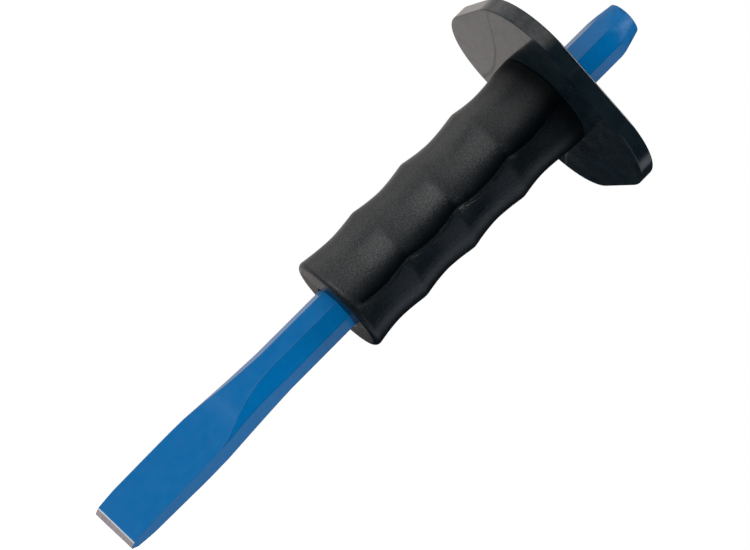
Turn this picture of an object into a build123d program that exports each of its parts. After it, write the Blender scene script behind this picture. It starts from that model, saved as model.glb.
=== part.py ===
"""Cold chisel, 250 mm, with a push-on finger grip and a hand guard.

The cutting edge lies on the XY plane along X, with its middle at the origin, and the shank
stands along +Z up to the struck head. The grip and the guard are threaded onto the octagonal
shank from the head end, so each has an octagonal bore that runs on the bar's flats.
"""

import os
from math import cos, radians, tan

from build123d import *

# ---- forged chisel ---------------------------------------------------------------------------
CHISEL_LENGTH = 250.0
BAR_ACROSS_FLATS = 15.8  # octagonal bar
BLADE_HALF_WIDTH = 9.95
BLADE_HALF_THICKNESS = 3.55  # where the blade starts to thicken into the bar
LIP_HALF_THICKNESS = 2.7  # nearer the edge, LIP_HEIGHT above it
LIP_HEIGHT = 9.0
BEVEL_HEIGHT = 2.2  # ground bevel behind the cutting edge
BEVEL_HALF_ANGLE = 36.0
EDGE_LAND = 0.1  # half width of the flat honed on the cutting edge
WIDTH_FLARE = (31.0, 73.0)  # heights where the sides draw in from blade to bar
THICKNESS_FLARE = (38.0, 71.0)  # heights where the blade's flats swell into the bar
FACET_FLARE = (34.0, 75.0)  # heights where the corner facets run out on the blade
FACET_SPREAD = 1.9  # how far the corner facets lean outwards over that length
HEAD_TAPER_START = 239.0
HEAD_END_RADIUS = 6.45
HEAD_CROWN_HEIGHT = 0.8  # the struck face is domed by this much
HEAD_FLAT_RADIUS = 3.0  # flat left in the middle of the dome

# ---- finger grip -----------------------------------------------------------------------------
GRIP_BOTTOM = 105.4
GRIP_TOP = 207.6
GRIP_END_ROUND = 1.9
END_RIDGE_RADIUS = 19.1
RIDGE_RADIUS = 18.9
GROOVE_RADIUS = 17.7
FIRST_RIDGE = 107.3
RIDGE_PITCH = 24.1
FINGER_GROOVES = 3  # equal grooves, each between two ridges
THUMB_GROOVE_HEIGHT = 190.8  # bottom of the longer groove under the guard
THUMB_GROOVE_TOP = 203.8
GRIP_TOP_RADIUS = 19.1
BORE_CLEARANCE = 0.05  # running clearance between the bar's flats and a bore

# ---- hand guard ------------------------------------------------------------------------------
GUARD_SEAT_GAP = 0.15  # the guard rests this far off the grip's end
GUARD_THICKNESS = 5.9
GUARD_LENGTH = 81.4
GUARD_WIDTH = 76.4
GUARD_CORNER_RADIUS = 25.6
GUARD_TURN = 45.0  # the guard's sides lie square to the bar's corner facets
GUARD_EDGE_ROUND = 0.9

OCTAGON_HALF_ANGLE = 22.5
OUTSIDE = 30.0  # blanks and cutters reach this far from the axis
BLANK_MARGIN = 1.0  # and this far below the cutting edge

bar_half = BAR_ACROSS_FLATS / 2
bar_corner_radius = bar_half / cos(radians(OCTAGON_HALF_ANGLE))
bore_corner_radius = (bar_half + BORE_CLEARANCE) / cos(radians(OCTAGON_HALF_ANGLE))


def s_curve(low, high):
    """Two equal arcs that meet half way, upright at both ends."""
    middle = ((low[0] + high[0]) / 2, (low[1] + high[1]) / 2)
    TangentArc(low, middle, tangent=(0, 1))
    TangentArc(high, middle, tangent=(0, -1))


# ---- the chisel: one forging, cut from a blank by its front, side and corner outlines ----------
with BuildPart() as cold_chisel:
    # front outline: the blade's sides draw in to the bar
    with BuildSketch(Plane.XZ):
        with BuildLine():
            Polyline((0, 0), (BLADE_HALF_WIDTH, 0), (BLADE_HALF_WIDTH, WIDTH_FLARE[0]))
            s_curve((BLADE_HALF_WIDTH, WIDTH_FLARE[0]), (bar_half, WIDTH_FLARE[1]))
            Polyline((bar_half, WIDTH_FLARE[1]), (bar_half, CHISEL_LENGTH), (0, CHISEL_LENGTH))
            mirror(about=Plane.YZ)
        make_face()
    extrude(amount=OUTSIDE, both=True)

    # side outline: ground bevel, slim blade, and the swell into the bar
    bevel_half = EDGE_LAND + BEVEL_HEIGHT * tan(radians(BEVEL_HALF_ANGLE))
    with BuildSketch(Plane.YZ):
        with BuildLine():
            Polyline(
                (0, 0),
                (EDGE_LAND, 0),
                (bevel_half, BEVEL_HEIGHT),
                (LIP_HALF_THICKNESS, LIP_HEIGHT),
                (BLADE_HALF_THICKNESS, THICKNESS_FLARE[0]),
            )
            s_curve((BLADE_HALF_THICKNESS, THICKNESS_FLARE[0]), (bar_half, THICKNESS_FLARE[1]))
            Polyline((bar_half, THICKNESS_FLARE[1]), (bar_half, CHISEL_LENGTH), (0, CHISEL_LENGTH))
            mirror(about=Plane.YZ)
        make_face()
    extrude(amount=OUTSIDE, both=True, mode=Mode.INTERSECT)

    # the bar's corner facets lean outwards until the thin blade has no corner left to cut
    facet_reach = bar_half + FACET_SPREAD
    for turn in (45, -45):
        with BuildSketch(Plane.XZ.rotated((0, 0, turn))):
            with BuildLine():
                Polyline(
                    (0, 0),
                    (facet_reach, 0),
                    (facet_reach, FACET_FLARE[0]),
                    (bar_half, FACET_FLARE[1]),
                    (bar_half, CHISEL_LENGTH),
                    (0, CHISEL_LENGTH),
                )
                mirror(about=Plane.YZ)
            make_face()
        extrude(amount=OUTSIDE, both=True, mode=Mode.INTERSECT)

    # turned head: a taper over the octagon's corners and a low dome with a flat middle
    crown_base = CHISEL_LENGTH - HEAD_CROWN_HEIGHT
    taper_slope = (bar_corner_radius - HEAD_END_RADIUS) / (crown_base - HEAD_TAPER_START)
    taper_foot = HEAD_TAPER_START - (OUTSIDE - bar_corner_radius) / taper_slope  # above the edge
    with BuildSketch(Plane.XZ):
        with BuildLine():
            Polyline(
                (0, CHISEL_LENGTH),
                (0, -BLANK_MARGIN),
                (OUTSIDE, -BLANK_MARGIN),
                (OUTSIDE, taper_foot),
                (HEAD_END_RADIUS, crown_base),
            )
            RadiusArc(
                (HEAD_END_RADIUS, crown_base), (HEAD_FLAT_RADIUS, CHISEL_LENGTH), -HEAD_END_RADIUS
            )
            Line((HEAD_FLAT_RADIUS, CHISEL_LENGTH), (0, CHISEL_LENGTH))
        make_face()
    revolve(axis=Axis.Z, mode=Mode.INTERSECT)
cold_chisel.part.label = "cold_chisel"

# ---- the grip: a turned sleeve with finger grooves and an octagonal bore ------------------------
with BuildPart() as finger_grip:
    with BuildSketch(Plane.XZ):
        ridge = (END_RIDGE_RADIUS, FIRST_RIDGE)
        with BuildLine():
            end_face_rim = (END_RIDGE_RADIUS - GRIP_END_ROUND, GRIP_BOTTOM)
            Polyline((0, GRIP_TOP), (0, GRIP_BOTTOM), end_face_rim)
            RadiusArc(end_face_rim, ridge, -GRIP_END_ROUND)
            for groove in range(FINGER_GROOVES):
                groove_height = ridge[1] + RIDGE_PITCH / 2
                next_ridge = (RIDGE_RADIUS, ridge[1] + RIDGE_PITCH)
                ThreePointArc(ridge, (GROOVE_RADIUS, groove_height), next_ridge)
                ridge = next_ridge
            thumb_top = (RIDGE_RADIUS, THUMB_GROOVE_TOP)
            ThreePointArc(ridge, (GROOVE_RADIUS, THUMB_GROOVE_HEIGHT), thumb_top)
            Polyline(thumb_top, (GRIP_TOP_RADIUS, GRIP_TOP), (0, GRIP_TOP))
        make_face()
    revolve(axis=Axis.Z)
    with BuildSketch(Plane.XY.offset(GRIP_BOTTOM)):
        RegularPolygon(bore_corner_radius, 8, rotation=OCTAGON_HALF_ANGLE)
    extrude(amount=GRIP_TOP - GRIP_BOTTOM, mode=Mode.SUBTRACT)
finger_grip.part.label = "finger_grip"

# ---- the guard: a rounded plate with the same octagonal bore ------------------------------------
with BuildPart() as hand_guard:
    with BuildSketch(Plane.XY.offset(GRIP_TOP + GUARD_SEAT_GAP)):
        RectangleRounded(GUARD_LENGTH, GUARD_WIDTH, GUARD_CORNER_RADIUS, rotation=GUARD_TURN)
    extrude(amount=GUARD_THICKNESS)
    fillet(hand_guard.faces().filter_by(Axis.Z).edges(), GUARD_EDGE_ROUND)
    with BuildSketch(Plane.XY.offset(GRIP_TOP + GUARD_SEAT_GAP)):
        RegularPolygon(bore_corner_radius, 8, rotation=OCTAGON_HALF_ANGLE)
    extrude(amount=GUARD_THICKNESS, mode=Mode.SUBTRACT)
hand_guard.part.label = "hand_guard"

# ---- one STEP file for each piece ---------------------------------------------------------------
os.makedirs("parts", exist_ok=True)
export_step(cold_chisel.part, "parts/cold_chisel.step")
export_step(finger_grip.part, "parts/finger_grip.step")
export_step(hand_guard.part, "parts/hand_guard.step")
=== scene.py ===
"""Looks for the cold chisel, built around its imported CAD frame.

The tool stands on its cutting edge at the origin, with its shank along +Z. Lengths are in metres.
"""

from math import cos, hypot, pi, radians, sin, sqrt, tan

import bpy
import numpy as np
from mathutils import Matrix, Vector


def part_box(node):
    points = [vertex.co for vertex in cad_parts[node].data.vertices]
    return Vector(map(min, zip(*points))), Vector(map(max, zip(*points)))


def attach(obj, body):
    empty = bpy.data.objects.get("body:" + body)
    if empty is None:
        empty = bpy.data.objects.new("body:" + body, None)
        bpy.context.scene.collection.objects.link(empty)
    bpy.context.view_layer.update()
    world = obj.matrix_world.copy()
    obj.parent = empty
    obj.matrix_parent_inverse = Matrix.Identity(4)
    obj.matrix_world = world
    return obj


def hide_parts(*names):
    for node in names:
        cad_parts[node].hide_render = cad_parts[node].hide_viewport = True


MM = 0.001

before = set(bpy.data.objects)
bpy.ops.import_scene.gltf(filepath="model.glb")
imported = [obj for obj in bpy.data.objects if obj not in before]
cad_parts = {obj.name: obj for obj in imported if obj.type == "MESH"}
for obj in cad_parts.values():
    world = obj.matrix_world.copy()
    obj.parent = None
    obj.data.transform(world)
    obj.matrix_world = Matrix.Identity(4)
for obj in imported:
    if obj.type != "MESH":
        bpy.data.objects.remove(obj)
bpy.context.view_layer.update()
_, chisel_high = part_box("cold_chisel")
grip_low, grip_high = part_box("finger_grip")
guard_low, guard_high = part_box("hand_guard")

# ---- sizes --------------------------------------------------------------------------------------
OCTAGON_SIDES = 8
HALF_FACET = pi / OCTAGON_SIDES  # half the angle that one facet of the bar takes
chisel_length = chisel_high.z
blade_half_width = chisel_high.x
bar_half = chisel_high.y
bore_half = bar_half + 0.05 * MM

BLADE_HALF_THICKNESS = 3.55 * MM
LIP_HALF_THICKNESS = 2.7 * MM
LIP_HEIGHT = 9 * MM
BEVEL_HEIGHT = 2.2 * MM
BEVEL_SLOPE = tan(radians(36))
EDGE_LAND = 0.1 * MM
WIDTH_FLARE = (31 * MM, 73 * MM)
THICKNESS_FLARE = (38 * MM, 71 * MM)
FACET_FLARE = (34 * MM, 75 * MM)
FACET_SPREAD = 1.9 * MM
HEAD_TAPER_START = 239 * MM
HEAD_END_RADIUS = 6.45 * MM
HEAD_CROWN_HEIGHT = 0.8 * MM
HEAD_FLAT_RADIUS = 3 * MM

FACET_WANDER = 0.07 * MM  # how unevenly the bar's facets were rolled
WANDER_LENGTH = 70 * MM  # and over what length
WANDER_SEED = 40
CORNER_ROUND = 0.55 * MM
CORNER_ROUND_SHARE = 0.42  # the most of a narrow facet that a corner's rounding may take
CORNER_STEPS = 6
LEAST_CHAMFER = 0.12 * MM
CONE_BLEND = 0.35 * MM  # how softly the head's cone meets the facets
EDGE_SKEW = 0.6 * MM  # the edge was ground a little askew, higher on its +X end
EDGE_SKEW_HEIGHT = 7 * MM
HEAD_LEAN = 0.7 * MM  # the head was ground a little to one side
# where a facet's vertices lie across it, close together near its corners
FACET_SHARES = (0, 0.015, 0.05, 0.1, 0.18, 0.27, 0.36, 0.45)
FACET_SHARES += (0.55, 0.64, 0.73, 0.82, 0.9, 0.95, 0.985, 1)
# rings of the struck face, drawn in towards its middle
CROWN_SHARES = (0.985, 0.95, 0.88, 0.78, 0.64, 0.5, 0.35, 0.2, 0.08)

# ---- directions about the viewing side ----------------------------------------------------------
VIEW_AZIMUTH = radians(33)
VIEW_ELEVATION = radians(-9.6)
VIEW_ROLL = radians(45.03)
VIEW_LENS = 96.0
SENSOR_WIDTH = 36
VIEW_DISTANCE = 0.6785
AIM_HEIGHT = 0.1225
AIM_SIDE = 0.0012

toward_camera = Vector((sin(VIEW_AZIMUTH), -cos(VIEW_AZIMUTH), 0))
right_of_view = Vector((cos(VIEW_AZIMUTH), sin(VIEW_AZIMUTH), 0))
toward_camera_turn = VIEW_AZIMUTH - pi / 2


def around(right_degrees, up_degrees=0.0):
    """Unit vector that many degrees to the right of the camera, seen from the tool, and upwards."""
    a, e = radians(right_degrees), radians(up_degrees)
    level = toward_camera * cos(a) + right_of_view * sin(a)
    return level * cos(e) + Vector((0, 0, sin(e)))


# ---- mesh helpers -------------------------------------------------------------------------------
def mesh_piece(name, vertices, faces):
    mesh = bpy.data.meshes.new(name)
    mesh.from_pydata([tuple(v) for v in vertices], [], faces)
    mesh.validate()
    mesh.update()
    mesh.shade_smooth()
    piece = bpy.data.objects.new(name, mesh)
    bpy.context.scene.collection.objects.link(piece)
    return piece


def bridge(faces, lower, upper, count):
    """Quads between two rings of count vertices, facing out when upper lies above lower."""
    for i in range(count):
        j = (i + 1) % count
        faces.append((lower + i, lower + j, upper + j, upper + i))


def soft_least(a, b, reach):
    """The lesser of a and b, rounded where they are within reach of each other."""
    h = np.clip(0.5 + 0.5 * (b - a) / reach, 0, 1)
    return b + (a - b) * h - reach * h * (1 - h)


def s_curve(z, z_range, start, end):
    """The CAD model's two equal arcs, upright at both ends."""
    low, high = z_range
    half_run, half_rise = (high - low) / 2, abs(end - start) / 2
    radius = (half_run**2 + half_rise**2) / (2 * half_rise)
    z = np.clip(z, low, high)
    lower = radius - np.sqrt(radius**2 - np.minimum(z - low, half_run) ** 2)
    upper = radius - np.sqrt(radius**2 - np.minimum(high - z, half_run) ** 2)
    moved = np.where(z < (low + high) / 2, lower, 2 * half_rise - upper)
    return start + np.sign(end - start) * moved


def waver(z, seed, wavelength):
    """Smooth wandering between 0 and 1 along z, different for each seed."""
    rng = np.random.default_rng(seed)
    total = np.zeros_like(z)
    for octave, weight in ((1, 0.6), (2.3, 0.3), (4.1, 0.1)):
        total += weight * np.sin(2 * pi * octave * z / wavelength + rng.uniform(0, 2 * pi))
    return 0.5 + 0.5 * total


# ---- chisel -------------------------------------------------------------------------------------
def chisel_heights():
    """Heights of the rings, close together where the shape turns quickly."""
    spans = [
        (0, 1.9, 6),
        (1.9, 2.5, 12),
        (2.5, 9.5, 12),
        (9.5, 31, 22),
        (31, 76, 90),
        (76, 100, 24),
        (100, 212, 40),
        (212, 236, 30),
        (236, 249.2, 70),
    ]
    heights = [np.linspace(a, b, n, endpoint=False) for a, b, n in spans]
    return np.append(np.concatenate(heights), 249.2) * MM


def facet_distances(z):
    """Distance from the axis to each of the eight facets at heights z."""
    side = s_curve(z, WIDTH_FLARE, blade_half_width, bar_half)
    bevel = EDGE_LAND + z * BEVEL_SLOPE
    bevel_top = EDGE_LAND + BEVEL_HEIGHT * BEVEL_SLOPE
    lip_rise = LIP_HALF_THICKNESS - bevel_top
    lip = bevel_top + (z - BEVEL_HEIGHT) * lip_rise / (LIP_HEIGHT - BEVEL_HEIGHT)
    blade_rise = (BLADE_HALF_THICKNESS - LIP_HALF_THICKNESS) / (THICKNESS_FLARE[0] - LIP_HEIGHT)
    blade = LIP_HALF_THICKNESS + (z - LIP_HEIGHT) * blade_rise
    flat = soft_least(soft_least(bevel, lip, 0.12 * MM), blade, 0.3 * MM)
    swell = s_curve(z, THICKNESS_FLARE, BLADE_HALF_THICKNESS, bar_half)
    flat = np.where(z > THICKNESS_FLARE[0], swell, flat)
    run_out = np.clip((z - FACET_FLARE[0]) / (FACET_FLARE[1] - FACET_FLARE[0]), 0, 1)
    corner = bar_half + FACET_SPREAD * (1 - run_out)
    distances = [side, corner, flat, corner, side, corner, flat, corner]
    wander_grows = np.clip((z - 8 * MM) / (30 * MM), 0, 1)
    wandering = []
    for facet, distance in enumerate(distances):
        amount = FACET_WANDER * wander_grows * waver(z, WANDER_SEED + facet, WANDER_LENGTH)
        wandering.append(distance - amount)
    return wandering


def chisel_ring(distances, cone_radius):
    """One cross-section: eight facets with rounded corners, cut off by the turned cone."""
    angles = [2 * HALF_FACET * i for i in range(OCTAGON_SIDES)]
    corners = []
    limited = list(distances)
    for i in range(1, OCTAGON_SIDES, 2):
        reach = (distances[i - 1] + distances[(i + 1) % OCTAGON_SIDES]) / sqrt(2)
        limited[i] = min(distances[i], reach - LEAST_CHAMFER / 2)
    for i in range(OCTAGON_SIDES):
        a, b = angles[i], angles[i] + 2 * HALF_FACET
        p, q = limited[i], limited[(i + 1) % OCTAGON_SIDES]
        det = sin(b - a)
        corners.append(((p * sin(b) - q * sin(a)) / det, (q * cos(a) - p * cos(b)) / det))
    lengths = []
    for i in range(OCTAGON_SIDES):
        (x0, y0), (x1, y1) = corners[i - 1], corners[i]
        lengths.append(hypot(x1 - x0, y1 - y0))
    points, on_edge = [], []
    for i in range(OCTAGON_SIDES):
        before, after = lengths[i], lengths[(i + 1) % OCTAGON_SIDES]
        radius = min(CORNER_ROUND, CORNER_ROUND_SHARE * min(before, after) / tan(HALF_FACET))
        last = min(
            CORNER_ROUND, CORNER_ROUND_SHARE * min(lengths[i - 1], before) / tan(HALF_FACET)
        )
        along = (-sin(angles[i]), cos(angles[i]))
        start = (
            corners[i - 1][0] + along[0] * last * tan(HALF_FACET),
            corners[i - 1][1] + along[1] * last * tan(HALF_FACET),
        )
        end = (
            corners[i][0] - along[0] * radius * tan(HALF_FACET),
            corners[i][1] - along[1] * radius * tan(HALF_FACET),
        )
        for share in FACET_SHARES:
            x = start[0] + (end[0] - start[0]) * share
            y = start[1] + (end[1] - start[1]) * share
            points.append((x, y))
            on_edge.append(0.0)
        centre = (end[0] - radius * cos(angles[i]), end[1] - radius * sin(angles[i]))
        for k in range(1, CORNER_STEPS):
            turn = angles[i] + 2 * HALF_FACET * k / CORNER_STEPS
            points.append((centre[0] + radius * cos(turn), centre[1] + radius * sin(turn)))
            on_edge.append(1.0)
    points = np.array(points)
    reach = np.hypot(points[:, 0], points[:, 1])
    kept = soft_least(reach, np.full_like(reach, cone_radius), CONE_BLEND)
    kept = np.where(reach < cone_radius - CONE_BLEND, reach, kept)
    return points * (kept / reach)[:, None], on_edge


def head_radius(z):
    """Radius of the turned cone over the head at height z."""
    crown_base = chisel_length - HEAD_CROWN_HEIGHT
    corner_radius = bar_half / cos(HALF_FACET)
    slope = (corner_radius - HEAD_END_RADIUS) / (crown_base - HEAD_TAPER_START)
    return HEAD_END_RADIUS + (crown_base - z) * slope


def build_chisel():
    heights = chisel_heights()
    distances = facet_distances(heights)
    vertices, edge_mask = [], []
    for k, z in enumerate(heights):
        ring, on_edge = chisel_ring([float(d[k]) for d in distances], head_radius(z))
        lean = HEAD_LEAN * np.clip((z - HEAD_TAPER_START) / (11 * MM), 0, 1) ** 1.5
        for (x, y), e in zip(ring, on_edge):
            near_edge = max(1 - z / EDGE_SKEW_HEIGHT, 0)
            askew = EDGE_SKEW * (0.5 + 0.5 * x / blade_half_width) * near_edge
            vertices.append((x - lean * right_of_view.x, y - lean * right_of_view.y, z + askew))
            edge_mask.append(e)
    count = len(ring)
    faces = []
    for k in range(len(heights) - 1):
        bridge(faces, k * count, (k + 1) * count, count)
    # crowned striking face, drawn in to a point at its middle
    last = (len(heights) - 1) * count
    rim = np.array(vertices[last:])
    middle = rim.mean(axis=0)
    for share in CROWN_SHARES:
        radius = HEAD_END_RADIUS * share
        fall = max(radius - HEAD_FLAT_RADIUS, 0) / (HEAD_END_RADIUS - HEAD_FLAT_RADIUS)
        z = chisel_length - HEAD_CROWN_HEIGHT * fall**2
        first = len(vertices)
        for x, y, _ in rim:
            x = middle[0] + (x - middle[0]) * share
            y = middle[1] + (y - middle[1]) * share
            vertices.append((x, y, z))
            edge_mask.append(0.5 if share > 0.9 else 0.0)
        bridge(faces, first - count, first, count)
    top = len(vertices)
    vertices.append((middle[0], middle[1], chisel_length))
    edge_mask.append(0.0)
    for i in range(count):
        faces.append((top - count + i, top - count + (i + 1) % count, top))
    # honed land on the cutting edge
    bottom = len(vertices)
    vertices.append((0, 0, EDGE_SKEW / 2))
    edge_mask.append(1.0)
    for i in range(count):
        faces.append((i, bottom, (i + 1) % count))
    piece = mesh_piece("chisel_forging", vertices, faces)
    attribute = piece.data.attributes.new("facet_edge", "FLOAT", "POINT")
    attribute.data.foreach_set("value", edge_mask)
    return piece


# ---- grip ---------------------------------------------------------------------------------------
GRIP_END_ROUND = 1.9 * MM
# heights above the grip's lower end and radii, in millimetres
GRIP_RIDGES = ((1.9, 19.1), (25.6, 18.95), (49.4, 19.0), (74.2, 18.85))
GRIP_GROOVES = ((14.2, 17.85), (37.4, 17.6), (61.6, 17.5), (84.6, 17.65))
GRIP_NECK = (97.0, 18.7)
GRIP_TOP = (102.2, 19.0)
RIDGE_SOFTNESS = 0.75  # millimetres over which a ridge or groove is eased
RIDGE_LEAN = 1.0  # millimetres that the ridges rise on the left of the view and sink on the right
GRIP_OFF_CENTRE = 0.3 * MM

# the finger side meets the palm side along a scalloped lip, and the mould halves along a fine flash
LIP_TURN_AT_RIDGE = radians(14.5)
LIP_TURN_AT_GROOVE = radians(20.5)
LIP_SINK_MM = 0.2  # how far the finger side sinks where it reaches the lip
LIP_SINK_WIDTH = radians(6.5)
HOLLOW_SHADE_WIDTH = radians(9)  # width of the painted shade in the hollow before the lip, drawn as darker, duller grain
LIP_CREST_MM = 0.02
LIP_STEP = radians(3.5)
SEAM_BEHIND_LIP = radians(5.5)
SEAM_DEPTH_MM = 0.2
SEAM_WIDTH = radians(0.9)
FLASH_TURN = radians(42)
FLASH_HEIGHT_MM = 0.05
FLASH_WIDTH = radians(0.6)


def grip_profile(height):
    """Radius of the grip, in millimetres, at heights above its lower end in millimetres."""
    knots = sorted(GRIP_RIDGES + GRIP_GROOVES) + [GRIP_NECK, GRIP_TOP]
    ridge_heights = [r[0] for r in GRIP_RIDGES]
    radius = np.zeros_like(height)
    for (h0, r0), (h1, r1) in zip(knots, knots[1:]):
        inside = (height >= h0) & (height <= h1)
        share = (height[inside] - h0) / (h1 - h0)
        if h0 in ridge_heights:  # steep fall behind a ridge, easing into the groove
            eased = 1 - (1 - share) ** 1.7
        elif h1 in ridge_heights:  # slow rise to the next ridge
            eased = share**1.6
        elif h1 == GRIP_NECK[0]:
            eased = share**2 * (1.6 - 0.6 * share)
        else:
            eased = share
        radius[inside] = r0 + (r1 - r0) * eased
    step = height[1] - height[0]
    reach = int(3 * RIDGE_SOFTNESS / step)
    kernel = np.exp(-0.5 * (np.arange(-reach, reach + 1) * step / RIDGE_SOFTNESS) ** 2)
    padded = np.pad(radius, reach, mode="edge")
    return np.convolve(padded, kernel / kernel.sum(), mode="valid")


def grip_turns():
    """Directions of the grip's columns, close together where the lips and the flash run."""
    bore_corners = np.arange(OCTAGON_SIDES) * 2 * HALF_FACET + HALF_FACET
    turns = [np.arange(0, 2 * pi, radians(1.25)), bore_corners]
    for side in (0, pi):
        start = toward_camera_turn + side
        turns.append(start + np.arange(radians(8), radians(30), radians(0.3)))
        turns.append(start + FLASH_TURN + radians(0.25) * np.arange(-5, 6))
    turns = np.sort(np.concatenate(turns) % (2 * pi))
    kept = np.concatenate([[True], np.diff(turns) > radians(0.1)])
    return turns[kept]


def lip_relief(turns, radius_mm):
    """Extra radius, in millimetres, of the lips, seams and flash at one height, and the painted
    shade in their hollows.

    The painted shade runs from 0 to about 1, and says where the grain is drawn darker and duller,
    as shade.
    """
    groove_share = np.clip((18.9 - radius_mm) / 1.3, 0, 1)
    relief, hollow_shade = np.zeros_like(turns), np.zeros_like(turns)
    for side in (0, pi):
        a = (turns - toward_camera_turn - side + pi) % (2 * pi) - pi
        lip = LIP_TURN_AT_RIDGE + (LIP_TURN_AT_GROOVE - LIP_TURN_AT_RIDGE) * groove_share
        sink = -LIP_SINK_MM * np.exp(np.minimum(a - lip, 0) / LIP_SINK_WIDTH)
        crest = LIP_CREST_MM * np.exp(-np.maximum(a - lip - LIP_STEP, 0) / (2 * LIP_STEP))
        step = np.clip((a - lip) / LIP_STEP, 0, 1)
        step = step * step * (3 - 2 * step)
        relief += sink * (1 - step) + crest * step
        # painted shade: darker, duller grain in the hollow before the lip, in the seam and along
        # the flash
        hollow_shade += np.exp(-((np.minimum(a - lip, 0) / HOLLOW_SHADE_WIDTH) ** 2)) * (1 - step)
        seam = lip + SEAM_BEHIND_LIP * (0.35 + 0.65 * groove_share)
        relief -= SEAM_DEPTH_MM * groove_share * np.exp(-(((a - seam) / SEAM_WIDTH) ** 2))
        hollow_shade += 0.85 * groove_share * np.exp(-(((a - seam) / SEAM_WIDTH) ** 2))
        flash = np.exp(-(((a - FLASH_TURN) / FLASH_WIDTH) ** 2))
        relief += FLASH_HEIGHT_MM * flash
        hollow_shade += 0.35 * flash
    return relief, hollow_shade


def build_grip():
    length = (grip_high.z - grip_low.z) / MM
    end_round = GRIP_END_ROUND / MM
    main_heights = np.linspace(end_round, length - 0.5, 330)
    heights = np.append(main_heights, [length - 0.25, length - 0.08])
    fine_heights = np.linspace(end_round, length, 2000)
    fine_radii = grip_profile(fine_heights)
    turns = grip_turns()
    count = len(turns)
    across = np.cos(turns - toward_camera_turn - pi / 2)
    octagon = bore_half / np.cos((turns + HALF_FACET) % (2 * HALF_FACET) - HALF_FACET)
    level = np.ones(count)
    rings, hollow_shades = [], {}
    # lower end: flat face, then the rounded rim
    face_radius = fine_radii[0] * MM - GRIP_END_ROUND
    for share in (0, 0.12, 0.4, 0.7, 0.95, 1):
        rings.append((octagon + (face_radius - octagon) * share, level * grip_low.z))
    for step in range(1, EDGE_STEPS + 1):
        a = pi / 2 * step / EDGE_STEPS
        height = grip_low.z + GRIP_END_ROUND * (1 - cos(a))
        rings.append((level * (face_radius + GRIP_END_ROUND * sin(a)), level * height))
    for h in heights[1:]:
        fade = np.clip((h - end_round) / 10, 0, 1) * np.clip((length - h) / 10, 0, 1)
        radius = np.interp(h + across * RIDGE_LEAN * fade, fine_heights, fine_radii)
        ends = np.clip((h - end_round) / 3, 0, 1) * np.clip((length - h) / 3, 0, 1)
        relief, hollow_shade = lip_relief(turns, radius)
        # painted shade in the hollows of this ring
        hollow_shades[len(rings)] = hollow_shade * ends
        rings.append(((radius + relief * ends) * MM, level * (grip_low.z + h * MM)))
    top_radius = rings[-1][0]
    for share in (0.995, 0.9, 0.5, 0):
        rings.append((octagon + (top_radius - octagon) * share, level * grip_high.z))
    # the bore, back down to the lower end
    for h in np.linspace(length, 0, 12)[1:-1]:
        rings.append((octagon, level * (grip_low.z + h * MM)))
    vertices = []
    for radius, z in rings:
        shift = GRIP_OFF_CENTRE * np.clip((radius - bore_half * 1.1) / (8 * MM), 0, 1)
        x = radius * np.cos(turns) - shift * right_of_view.x
        y = radius * np.sin(turns) - shift * right_of_view.y
        vertices.extend(zip(x.tolist(), y.tolist(), z.tolist()))
    faces = []
    for k in range(len(rings)):
        bridge(faces, k * count, (k + 1) % len(rings) * count, count)
    piece = mesh_piece("finger_grip_moulding", vertices, faces)
    # the painted shade in the hollows goes to the rubber's material
    attribute = piece.data.attributes.new("hollow_shade", "FLOAT", "POINT")
    values = [hollow_shades.get(k, 0 * level) for k in range(len(rings))]
    attribute.data.foreach_set("value", np.concatenate(values))
    return piece


# ---- guard --------------------------------------------------------------------------------------
GUARD_LENGTH = 81.4 * MM
GUARD_WIDTH = 76.4 * MM
GUARD_CORNER_RADIUS = 25.6 * MM
GUARD_TURN = radians(45)
GUARD_EDGE_ROUND = 0.5 * MM
TURN_STEPS = 384
EDGE_STEPS = 8  # rings round each of the guard's edges, and round the grip's lower rim


def guard_reach(turns, inset):
    """Distance from the axis to the guard's outline, drawn in by inset, along each direction."""
    half_l, half_w = GUARD_LENGTH / 2 - inset, GUARD_WIDTH / 2 - inset
    radius = GUARD_CORNER_RADIUS - inset
    a = turns - GUARD_TURN
    ux, uy = np.abs(np.cos(a)), np.abs(np.sin(a))
    with np.errstate(divide="ignore"):
        straight = np.minimum(half_l / ux, half_w / uy)
    cx, cy = half_l - radius, half_w - radius
    along = ux * cx + uy * cy
    rounded = along + np.sqrt(np.maximum(along**2 - (cx**2 + cy**2 - radius**2), 0))
    at_corner = (straight * ux > cx) & (straight * uy > cy)
    return np.where(at_corner, rounded, straight)


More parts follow.
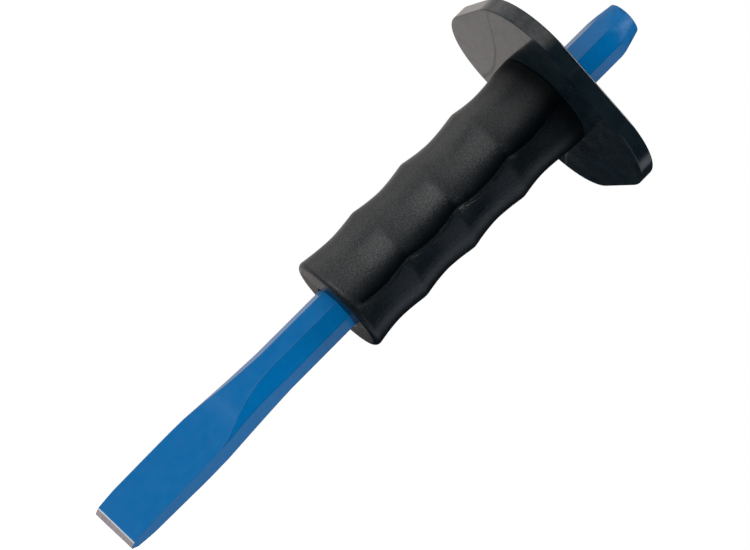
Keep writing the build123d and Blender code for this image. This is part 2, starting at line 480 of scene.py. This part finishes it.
def build_guard():
    turns = np.arange(TURN_STEPS) * 2 * pi / TURN_STEPS
    octagon = bore_half / np.cos((turns + HALF_FACET) % (2 * HALF_FACET) - HALF_FACET)
    low, high = guard_low.z, guard_high.z
    rings = []
    inner = guard_reach(turns, GUARD_EDGE_ROUND)
    for share in (0, 0.02, 0.2, 0.4, 0.6, 0.8, 0.97, 1):
        rings.append((octagon + (inner - octagon) * share, low))
    for step in range(1, EDGE_STEPS):
        a = pi / 2 * step / EDGE_STEPS
        reach = guard_reach(turns, GUARD_EDGE_ROUND * (1 - sin(a)))
        rings.append((reach, low + GUARD_EDGE_ROUND * (1 - cos(a))))
    outer = guard_reach(turns, 0)
    upright = high - low - 2 * GUARD_EDGE_ROUND
    for share in (0, 0.04, 0.35, 0.65, 0.96, 1):
        rings.append((outer, low + GUARD_EDGE_ROUND + upright * share))
    for step in range(EDGE_STEPS - 1, 0, -1):
        a = pi / 2 * step / EDGE_STEPS
        reach = guard_reach(turns, GUARD_EDGE_ROUND * (1 - sin(a)))
        rings.append((reach, high - GUARD_EDGE_ROUND * (1 - cos(a))))
    for share in (1, 0.97, 0.8, 0.6, 0.4, 0.2, 0.02, 0):
        rings.append((octagon + (inner - octagon) * share, high))
    for share in (0.95, 0.5, 0.05):
        rings.append((octagon, low + (high - low) * share))
    vertices = []
    for radius, z in rings:
        for r, a in zip(radius, turns):
            vertices.append((r * cos(a), r * sin(a), z))
    faces = []
    for k in range(len(rings)):
        bridge(faces, k * TURN_STEPS, (k + 1) % len(rings) * TURN_STEPS, TURN_STEPS)
    return mesh_piece("hand_guard_moulding", vertices, faces)


# ---- materials ----------------------------------------------------------------------------------
class NodeTree:
    """Adds nodes to the node tree of a material or the world, and links them."""

    def __init__(self, holder):
        holder.use_nodes = True
        self.tree = holder.node_tree
        self.tree.nodes.clear()

    def add(self, kind, inputs=None, **settings):
        node = self.tree.nodes.new(kind)
        for key, value in settings.items():
            setattr(node, key, value)
        for key, value in (inputs or {}).items():
            node.inputs[key].default_value = value
        return node

    def link(self, source, output, target, socket):
        self.tree.links.new(source.outputs[output], target.inputs[socket])


class Finish(NodeTree):
    """A new material with one shader, and the textures and steps that feed it."""

    def __init__(self, name):
        self.material = bpy.data.materials.new(name)
        super().__init__(self.material)
        self.output = self.add("ShaderNodeOutputMaterial")
        self.shader = self.add("ShaderNodeBsdfPrincipled")
        self.link(self.shader, "BSDF", self.output, "Surface")
        self.place = self.add("ShaderNodeTexCoord")

    def stretched(self, scale):
        mapping = self.add("ShaderNodeMapping", {"Scale": scale})
        self.link(self.place, "Object", mapping, "Vector")
        return mapping

    def noise(self, scale, detail=3.0, roughness=0.5, stretch=None):
        inputs = {"Scale": scale, "Detail": detail, "Roughness": roughness}
        node = self.add("ShaderNodeTexNoise", inputs)
        if stretch:
            self.link(self.stretched(stretch), "Vector", node, "Vector")
        else:
            self.link(self.place, "Object", node, "Vector")
        return node

    def ramp(self, source, output, stops):
        node = self.add("ShaderNodeValToRGB")
        elements = node.color_ramp.elements
        while len(elements) < len(stops):
            elements.new(0.5)
        for element, (position, colour) in zip(elements, stops):
            element.position = position
            element.color = (*colour, 1)
        self.link(source, output, node, "Fac")
        return node

    def span(self, source, output, low, high, to_low, to_high):
        node = self.add(
            "ShaderNodeMapRange",
            {"From Min": low, "From Max": high, "To Min": to_low, "To Max": to_high},
        )
        self.link(source, output, node, "Value")
        return node

    def times(self, a, b):
        node = self.add("ShaderNodeMath", operation="MULTIPLY")
        self.link(a, 0, node, 0)
        self.link(b, 0, node, 1)
        return node

    def bump(self, source, output, distance, strength=1.0, under=None):
        node = self.add("ShaderNodeBump", {"Distance": distance, "Strength": strength})
        self.link(source, output, node, "Height")
        if under:
            self.link(under, "Normal", node, "Normal")
        return node


def lacquered_steel():
    n = Finish("blue_lacquer")
    mottle = n.noise(420, 4)
    colour = n.ramp(mottle, "Fac", [(0.3, (0.0, 0.098, 0.282)), (0.7, (0.0, 0.108, 0.302))])
    # darker along the rounded edges between the facets, scuffed near the struck end
    edge = n.add("ShaderNodeAttribute", attribute_name="facet_edge")
    edge_tone = n.span(edge, "Fac", 0.0, 1.0, 1.0, 0.78)
    place = n.add("ShaderNodeSeparateXYZ")
    n.link(n.place, "Object", place, "Vector")
    near_head = n.span(place, "Z", HEAD_TAPER_START, chisel_length, 0.0, 1.0)
    scuffs = n.times(n.span(n.noise(480, 4, 0.65), "Fac", 0.54, 0.68, 0.0, 1.0), near_head)
    scuff_tone = n.span(scuffs, "Value", 0.0, 0.6, 1.0, 0.6)
    shaded = n.add("ShaderNodeVectorMath", operation="SCALE")
    n.link(colour, "Color", shaded, 0)
    n.link(n.times(edge_tone, scuff_tone), "Value", shaded, "Scale")
    n.link(shaded, "Vector", n.shader, "Base Color")
    cloud = n.noise(260, 3)
    # and duller there
    worn = n.span(place, "Z", HEAD_TAPER_START - 2 * MM, HEAD_TAPER_START + 3 * MM, 0.0, 0.26)
    rough = n.add("ShaderNodeMath", operation="ADD")
    n.link(n.span(cloud, "Fac", 0.3, 0.7, 0.14, 0.22), "Result", rough, 0)
    n.link(worn, "Result", rough, 1)
    n.link(rough, "Value", n.shader, "Roughness")
    peel = n.noise(1500, 2)
    wave = n.noise(110, 2)
    under = n.bump(wave, "Fac", 0.00006)
    n.link(n.bump(peel, "Fac", 0.000008, under=under), "Normal", n.shader, "Normal")
    n.shader.inputs["IOR"].default_value = 1.3
    return n.material


def ground_steel():
    n = Finish("ground_steel")
    scratch = n.noise(1, 3, 0.6, stretch=(5200, 700, 260))
    colour = n.ramp(scratch, "Fac", [(0.3, (0.40, 0.375, 0.41)), (0.7, (0.58, 0.55, 0.60))])
    # a painted highlight: a bright line on the bevel where the lacquer ends, standing in for light
    # caught by the edge
    place = n.add("ShaderNodeSeparateXYZ")
    n.link(n.place, "Object", place, "Vector")
    line = n.add("ShaderNodeMath", {1: EDGE_SKEW / 3 / blade_half_width}, operation="MULTIPLY")
    n.link(place, "X", line, 0)
    level = n.add("ShaderNodeMath", operation="SUBTRACT")
    n.link(place, "Z", level, 0)
    n.link(line, "Value", level, 1)
    edge_highlight = n.span(level, "Value", BEVEL_HEIGHT - 0.35 * MM, BEVEL_HEIGHT - 0.1 * MM, 0, 1)
    mixed = n.add("ShaderNodeMix", data_type="RGBA")
    n.link(edge_highlight, "Result", mixed, 0)
    n.link(colour, "Color", mixed, 6)
    mixed.inputs[7].default_value = (0.8, 0.92, 0.98, 1)
    n.link(mixed, 2, n.shader, "Base Color")
    n.link(n.span(scratch, "Fac", 0.3, 0.7, 0.32, 0.5), "Result", n.shader, "Roughness")
    n.link(n.bump(scratch, "Fac", 0.00002), "Normal", n.shader, "Normal")
    n.shader.inputs["Metallic"].default_value = 0.9
    return n.material


# heights over which the painted shade under the guard deepens
SHADE_FROM, SHADE_TO = grip_high.z - 24 * MM, grip_high.z - 2 * MM


def grip_rubber():
    n = Finish("grained_rubber")
    grain_size = {"Scale": 1800.0, "Smoothness": 0.35}
    cells = n.add("ShaderNodeTexVoronoi", grain_size, feature="SMOOTH_F1")
    n.link(n.place, "Object", cells, "Vector")
    fine = n.noise(3600, 3)
    tone = n.noise(160, 3)
    colour = n.ramp(tone, "Fac", [(0.3, (0.0014, 0.0036, 0.0053)), (0.7, (0.0024, 0.0052, 0.0074))])
    polish = n.noise(70, 2)
    n.link(n.span(polish, "Fac", 0.35, 0.65, 0.25, 0.35), "Result", n.shader, "Roughness")
    grain = n.bump(cells, "Distance", 0.00007, 0.8)
    # the coarse grain shades itself where the surface turns away
    slant = n.add("ShaderNodeLayerWeight", {"Blend": 0.5})
    gloss = n.span(slant, "Facing", 0.2, 0.75, 0.5, 0.16)
    speckle = n.span(cells, "Distance", 0.1, 0.6, 1.25, 0.7)
    # painted shade: darker, duller rubber under the guard and in the hollows, standing in for the
    # guard's shadow and the shade in the hollows
    place = n.add("ShaderNodeSeparateXYZ")
    n.link(n.place, "Object", place, "Vector")
    guard_shade = n.span(place, "Z", SHADE_FROM, SHADE_TO, 1.0, 0.12)
    hollow_shade = n.add("ShaderNodeAttribute", attribute_name="hollow_shade")
    hollow_shading = n.span(hollow_shade, "Fac", 0.0, 1.0, 1.0, 0.12)
    unshaded_share = n.times(guard_shade, hollow_shading)
    n.link(n.times(n.times(gloss, speckle), unshaded_share), "Value", n.shader, "Specular IOR Level")
    # the painted shade under the guard and in the hollows darkens the base colour too
    shaded = n.add("ShaderNodeVectorMath", operation="SCALE")
    n.link(colour, "Color", shaded, 0)
    n.link(n.span(unshaded_share, "Value", 0.1, 0.9, 0.3, 1.0), "Result", shaded, "Scale")
    n.link(shaded, "Vector", n.shader, "Base Color")
    n.link(n.bump(fine, "Fac", 0.00004, 0.9, under=grain), "Normal", n.shader, "Normal")
    n.shader.inputs["IOR"].default_value = 1.5
    return n.material


def guard_rubber():
    n = Finish("smooth_rubber")
    tone = n.noise(110, 5, 0.6)
    colour = n.ramp(tone, "Fac", [(0.3, (0.0018, 0.0046, 0.0068)), (0.7, (0.0056, 0.0104, 0.0136))])
    n.link(colour, "Color", n.shader, "Base Color")
    # thin curved lines where the rubber flowed together in its mould, and duller streaks
    lines = n.add(
        "ShaderNodeTexWave",
        {"Scale": 17.0, "Distortion": 5.0, "Detail": 2.0, "Detail Scale": 0.8, "Phase Offset": 1.3},
        bands_direction="DIAGONAL",
    )
    n.link(n.stretched((1, 0.45, 0)), "Vector", lines, "Vector")
    flow = n.noise(48, 5, 0.55, stretch=(1, 1, 0.3))
    flow.inputs["Distortion"].default_value = 2.2
    haze = n.noise(500, 4)
    rough = n.span(haze, "Fac", 0.3, 0.7, 0.07, 0.12)
    streaky = n.span(flow, "Fac", 0.45, 0.66, 0.0, 0.06)
    lined = n.span(lines, "Fac", 0.993, 0.9995, 0.0, 0.14)
    for added in (streaky, lined):
        total = n.add("ShaderNodeMath", operation="ADD")
        n.link(rough, 0, total, 0)
        n.link(added, 0, total, 1)
        rough = total
    n.link(rough, "Value", n.shader, "Roughness")
    mottle = n.noise(700, 4, 0.6)
    streaks = n.span(flow, "Fac", 0.32, 0.6, 0.34, 0.56)
    speckle = n.span(mottle, "Fac", 0.3, 0.7, 0.7, 1.2)
    n.link(n.times(streaks, speckle), "Value", n.shader, "Specular IOR Level")
    fine = n.noise(1800, 3)
    n.link(n.bump(fine, "Fac", 0.000006), "Normal", n.shader, "Normal")
    n.shader.inputs["IOR"].default_value = 1.5
    return n.material


# ---- pieces -------------------------------------------------------------------------------------
chisel = build_chisel()
chisel.data.materials.append(lacquered_steel())
chisel.data.materials.append(ground_steel())
for polygon in chisel.data.polygons:
    askew = EDGE_SKEW * (0.5 + 0.5 * polygon.center.x / blade_half_width)
    if polygon.center.z < BEVEL_HEIGHT + 0.7 * askew and abs(polygon.normal.x) < 0.6:
        polygon.material_index = 1
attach(chisel, "chisel")
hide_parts("cold_chisel")

grip = build_grip()
grip.data.materials.append(grip_rubber())
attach(grip, "grip")
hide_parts("finger_grip")

guard = build_guard()
guard.data.materials.append(guard_rubber())
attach(guard, "guard")
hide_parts("hand_guard")


# ---- stage --------------------------------------------------------------------------------------
def build_floor():
    reach = 6.0
    corners = [(-reach, -reach, 0), (reach, -reach, 0), (reach, reach, 0), (-reach, reach, 0)]
    piece = mesh_piece("studio_floor", corners, [(0, 1, 2, 3)])
    material = bpy.data.materials.new("pale_floor")
    stage = NodeTree(material)
    output = stage.add("ShaderNodeOutputMaterial")
    diffuse = stage.add("ShaderNodeBsdfDiffuse", {"Color": (0.5, 0.5, 0.5, 1)})
    place = stage.add("ShaderNodeTexCoord")
    away = stage.add("ShaderNodeVectorMath", operation="LENGTH")
    stage.link(place, "Object", away, 0)
    fade = stage.add(
        "ShaderNodeMapRange",
        {"From Min": 0.03, "From Max": 0.3, "To Min": 0.93, "To Max": 1.05},
        interpolation_type="SMOOTHSTEP",
    )
    stage.link(away, "Value", fade, "Value")
    glow = stage.add("ShaderNodeEmission")
    stage.link(fade, "Result", glow, "Strength")
    both = stage.add("ShaderNodeAddShader")
    stage.link(diffuse, "BSDF", both, 0)
    stage.link(glow, "Emission", both, 1)
    stage.link(both, "Shader", output, "Surface")
    piece.data.materials.append(material)
    piece.visible_glossy = False


def soft_box(name, direction, distance, size, power):
    lamp = bpy.data.lights.new(name, "AREA")
    lamp.shape = "RECTANGLE"
    lamp.size, lamp.size_y = size
    lamp.energy = power
    holder = bpy.data.objects.new(name, lamp)
    bpy.context.scene.collection.objects.link(holder)
    target = Vector((0, 0, chisel_length / 2))
    holder.location = target + direction * distance
    holder.rotation_euler = (-direction).to_track_quat("-Z", "Y").to_euler()


def cone(direction, inner, outer):
    """A mask that is full within inner degrees of the direction and gone outside outer degrees."""
    return direction, cos(radians(outer)), cos(radians(inner))


def beyond(right_degrees, soft_degrees):
    """A mask for everything on the left of that bearing, with an edge that soft."""
    half = sin(radians(soft_degrees))
    return around(right_degrees - 90), -half, half


def right_of(bearing, soft_degrees):
    """The opposite of beyond."""
    half = sin(radians(soft_degrees))
    return around(bearing + 90), -half, half


def below(full, gone):
    """A mask for everything lower than those elevations, in degrees."""
    return Vector((0, 0, -1)), -sin(radians(gone)), -sin(radians(full))


def above(gone, full):
    """The opposite of below."""
    return Vector((0, 0, 1)), sin(radians(gone)), sin(radians(full))


LEFT_GLOW = (1.5, 1.45, 1.4)
ROOM = (0.012, 0.012, 0.014)
GLOWS = (
    # bright side of the room: from behind on the left round to straight in front
    ((cone(around(-58, 10), 42, 68), beyond(20, 12), below(24, 50)), LEFT_GLOW),
    # a dark gap in it, which the blade's flats mirror
    (
        (beyond(-61, 4), right_of(-71, 4), above(-24, -14), below(9, 18)),
        tuple(-0.93 * c for c in LEFT_GLOW),
    ),
    # backdrop behind the tool, on the left of the view
    (((-right_of_view, -0.02, 0.03), (-toward_camera, 0.15, 0.5)), (0.7, 0.65, 0.62)),
    # the table below and to the left
    (((-right_of_view, -0.02, 0.3), (Vector((0, 0, -1)), 0.3, 0.8)), (0.3, 0.28, 0.28)),
    # wall on the right
    ((right_of(104, 5), beyond(126, 6), below(26, 40)), (0.62, 0.65, 0.72)),
    ((cone(around(76, -4), 20, 42), below(4, 15)), (0.36, 0.38, 0.42)),
)


def build_world():
    """White behind the tool, and a darker room with a few glowing areas that light it."""
    world = bpy.data.worlds.new("studio")
    bpy.context.scene.world = world
    stage = NodeTree(world)
    output = stage.add("ShaderNodeOutputWorld")
    seen = stage.add("ShaderNodeBackground", {"Color": (1, 1, 1, 1)})
    lighting = stage.add("ShaderNodeBackground")
    path = stage.add("ShaderNodeLightPath")
    mix = stage.add("ShaderNodeMixShader")
    stage.link(path, "Is Camera Ray", mix, 0)
    stage.link(lighting, "Background", mix, 1)
    stage.link(seen, "Background", mix, 2)
    stage.link(mix, "Shader", output, "Surface")
    place = stage.add("ShaderNodeTexCoord")

    def mask(axis, start, full):
        dot = stage.add("ShaderNodeVectorMath", operation="DOT_PRODUCT")
        dot.inputs[1].default_value = axis
        stage.link(place, "Generated", dot, 0)
        limits = {"From Min": start, "From Max": full}
        step = stage.add("ShaderNodeMapRange", limits, interpolation_type="SMOOTHSTEP")
        stage.link(dot, "Value", step, "Value")
        return step

    total = stage.add("ShaderNodeVectorMath", operation="ADD")
    total.inputs[0].default_value = ROOM
    for masks, colour in GLOWS:
        scaled = stage.add("ShaderNodeVectorMath", operation="SCALE")
        scaled.inputs[0].default_value = colour
        product = mask(*masks[0])
        for other in masks[1:]:
            both = stage.add("ShaderNodeMath", operation="MULTIPLY")
            stage.link(product, 0, both, 0)
            stage.link(mask(*other), 0, both, 1)
            product = both
        stage.link(product, 0, scaled, "Scale")
        stage.link(scaled, "Vector", total, 1)
        following = stage.add("ShaderNodeVectorMath", operation="ADD")
        stage.link(total, "Vector", following, 0)
        total = following
    stage.link(total, "Vector", lighting, "Color")


build_floor()
build_world()
soft_box("top_softbox", around(35, 62), 1.1, (0.5, 0.5), 9)
soft_box("low_softbox", around(-28, -8), 0.45, (0.5, 0.12), 0.3)


# ---- camera -------------------------------------------------------------------------------------
def build_camera():
    data = bpy.data.cameras.new("photo_camera")
    data.lens = VIEW_LENS
    data.sensor_width = SENSOR_WIDTH
    data.clip_start, data.clip_end = 0.01, 50
    camera = bpy.data.objects.new("photo_camera", data)
    bpy.context.scene.collection.objects.link(camera)
    forward = -toward_camera * cos(VIEW_ELEVATION) - Vector((0, 0, 1)) * sin(VIEW_ELEVATION)
    upright = Vector((0, 0, 1)) * cos(VIEW_ELEVATION) - toward_camera * sin(VIEW_ELEVATION)
    right = right_of_view * sin(VIEW_ROLL) + upright * cos(VIEW_ROLL)
    up = upright * sin(VIEW_ROLL) - right_of_view * cos(VIEW_ROLL)
    turn = Matrix((right, up, -forward)).transposed().to_4x4()
    aim = right_of_view * AIM_SIDE + Vector((0, 0, AIM_HEIGHT))
    camera.matrix_world = Matrix.Translation(aim - forward * VIEW_DISTANCE) @ turn
    bpy.context.scene.camera = camera


build_camera()
bpy.context.scene.view_settings.view_transform = "Standard"
